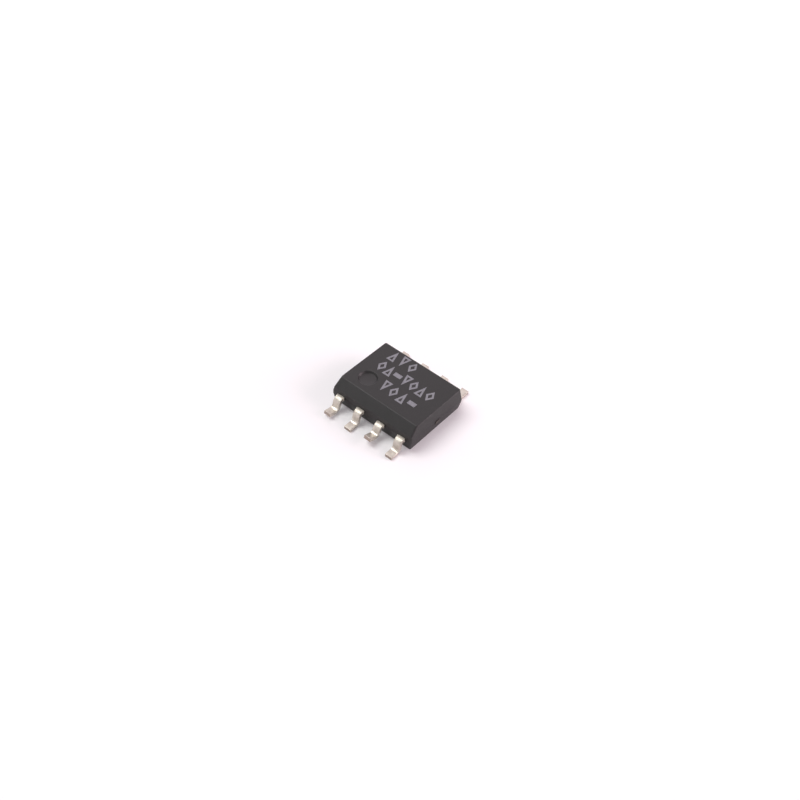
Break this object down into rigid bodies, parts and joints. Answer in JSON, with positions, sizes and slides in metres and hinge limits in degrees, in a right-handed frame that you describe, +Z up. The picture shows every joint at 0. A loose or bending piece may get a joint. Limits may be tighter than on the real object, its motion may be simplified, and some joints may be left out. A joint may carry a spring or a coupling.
{
  "type": "small-outline integrated circuit package",
  "caption": "Small flat moulded chip package with gull-wing leads along both long sides, a bevelled edge and a round dimple at the pin 1 end.",
  "frame": {"origin": "under the middle of the moulded body, on the plane that the feet stand on", "axes": "+X along the row of leads from the pin 1 end to the pin 4 end, +Y across the body from pins 1 to 4 to pins 5 to 8, +Z up out of the top face"},
  "size_m": [0.005, 0.0059, 0.0014],
  "materials": {
    "package": "matte moulded epoxy, charcoal",
    "lead_finish": "satin matte tin plating",
    "leadframe_copper": "bare copper alloy strip",
    "die_attach": "silver-filled epoxy",
    "silicon": "polished silicon",
    "bond_wire": "drawn gold wire"
  },
  "bodies": {
    "root": {"package_body": "package", "lead_1": "lead_finish", "lead_2": "lead_finish", "lead_3": "lead_finish", "lead_4": "lead_finish", "lead_5": "lead_finish", "lead_6": "lead_finish", "lead_7": "lead_finish", "lead_8": "lead_finish", "die_pad": "leadframe_copper", "die_attach": "die_attach", "die": "silicon", "bond_wire_1": "bond_wire", "bond_wire_2": "bond_wire", "bond_wire_3": "bond_wire", "bond_wire_4": "bond_wire", "bond_wire_5": "bond_wire", "bond_wire_6": "bond_wire", "bond_wire_7": "bond_wire", "bond_wire_8": "bond_wire"}
  },
  "joints": []
}
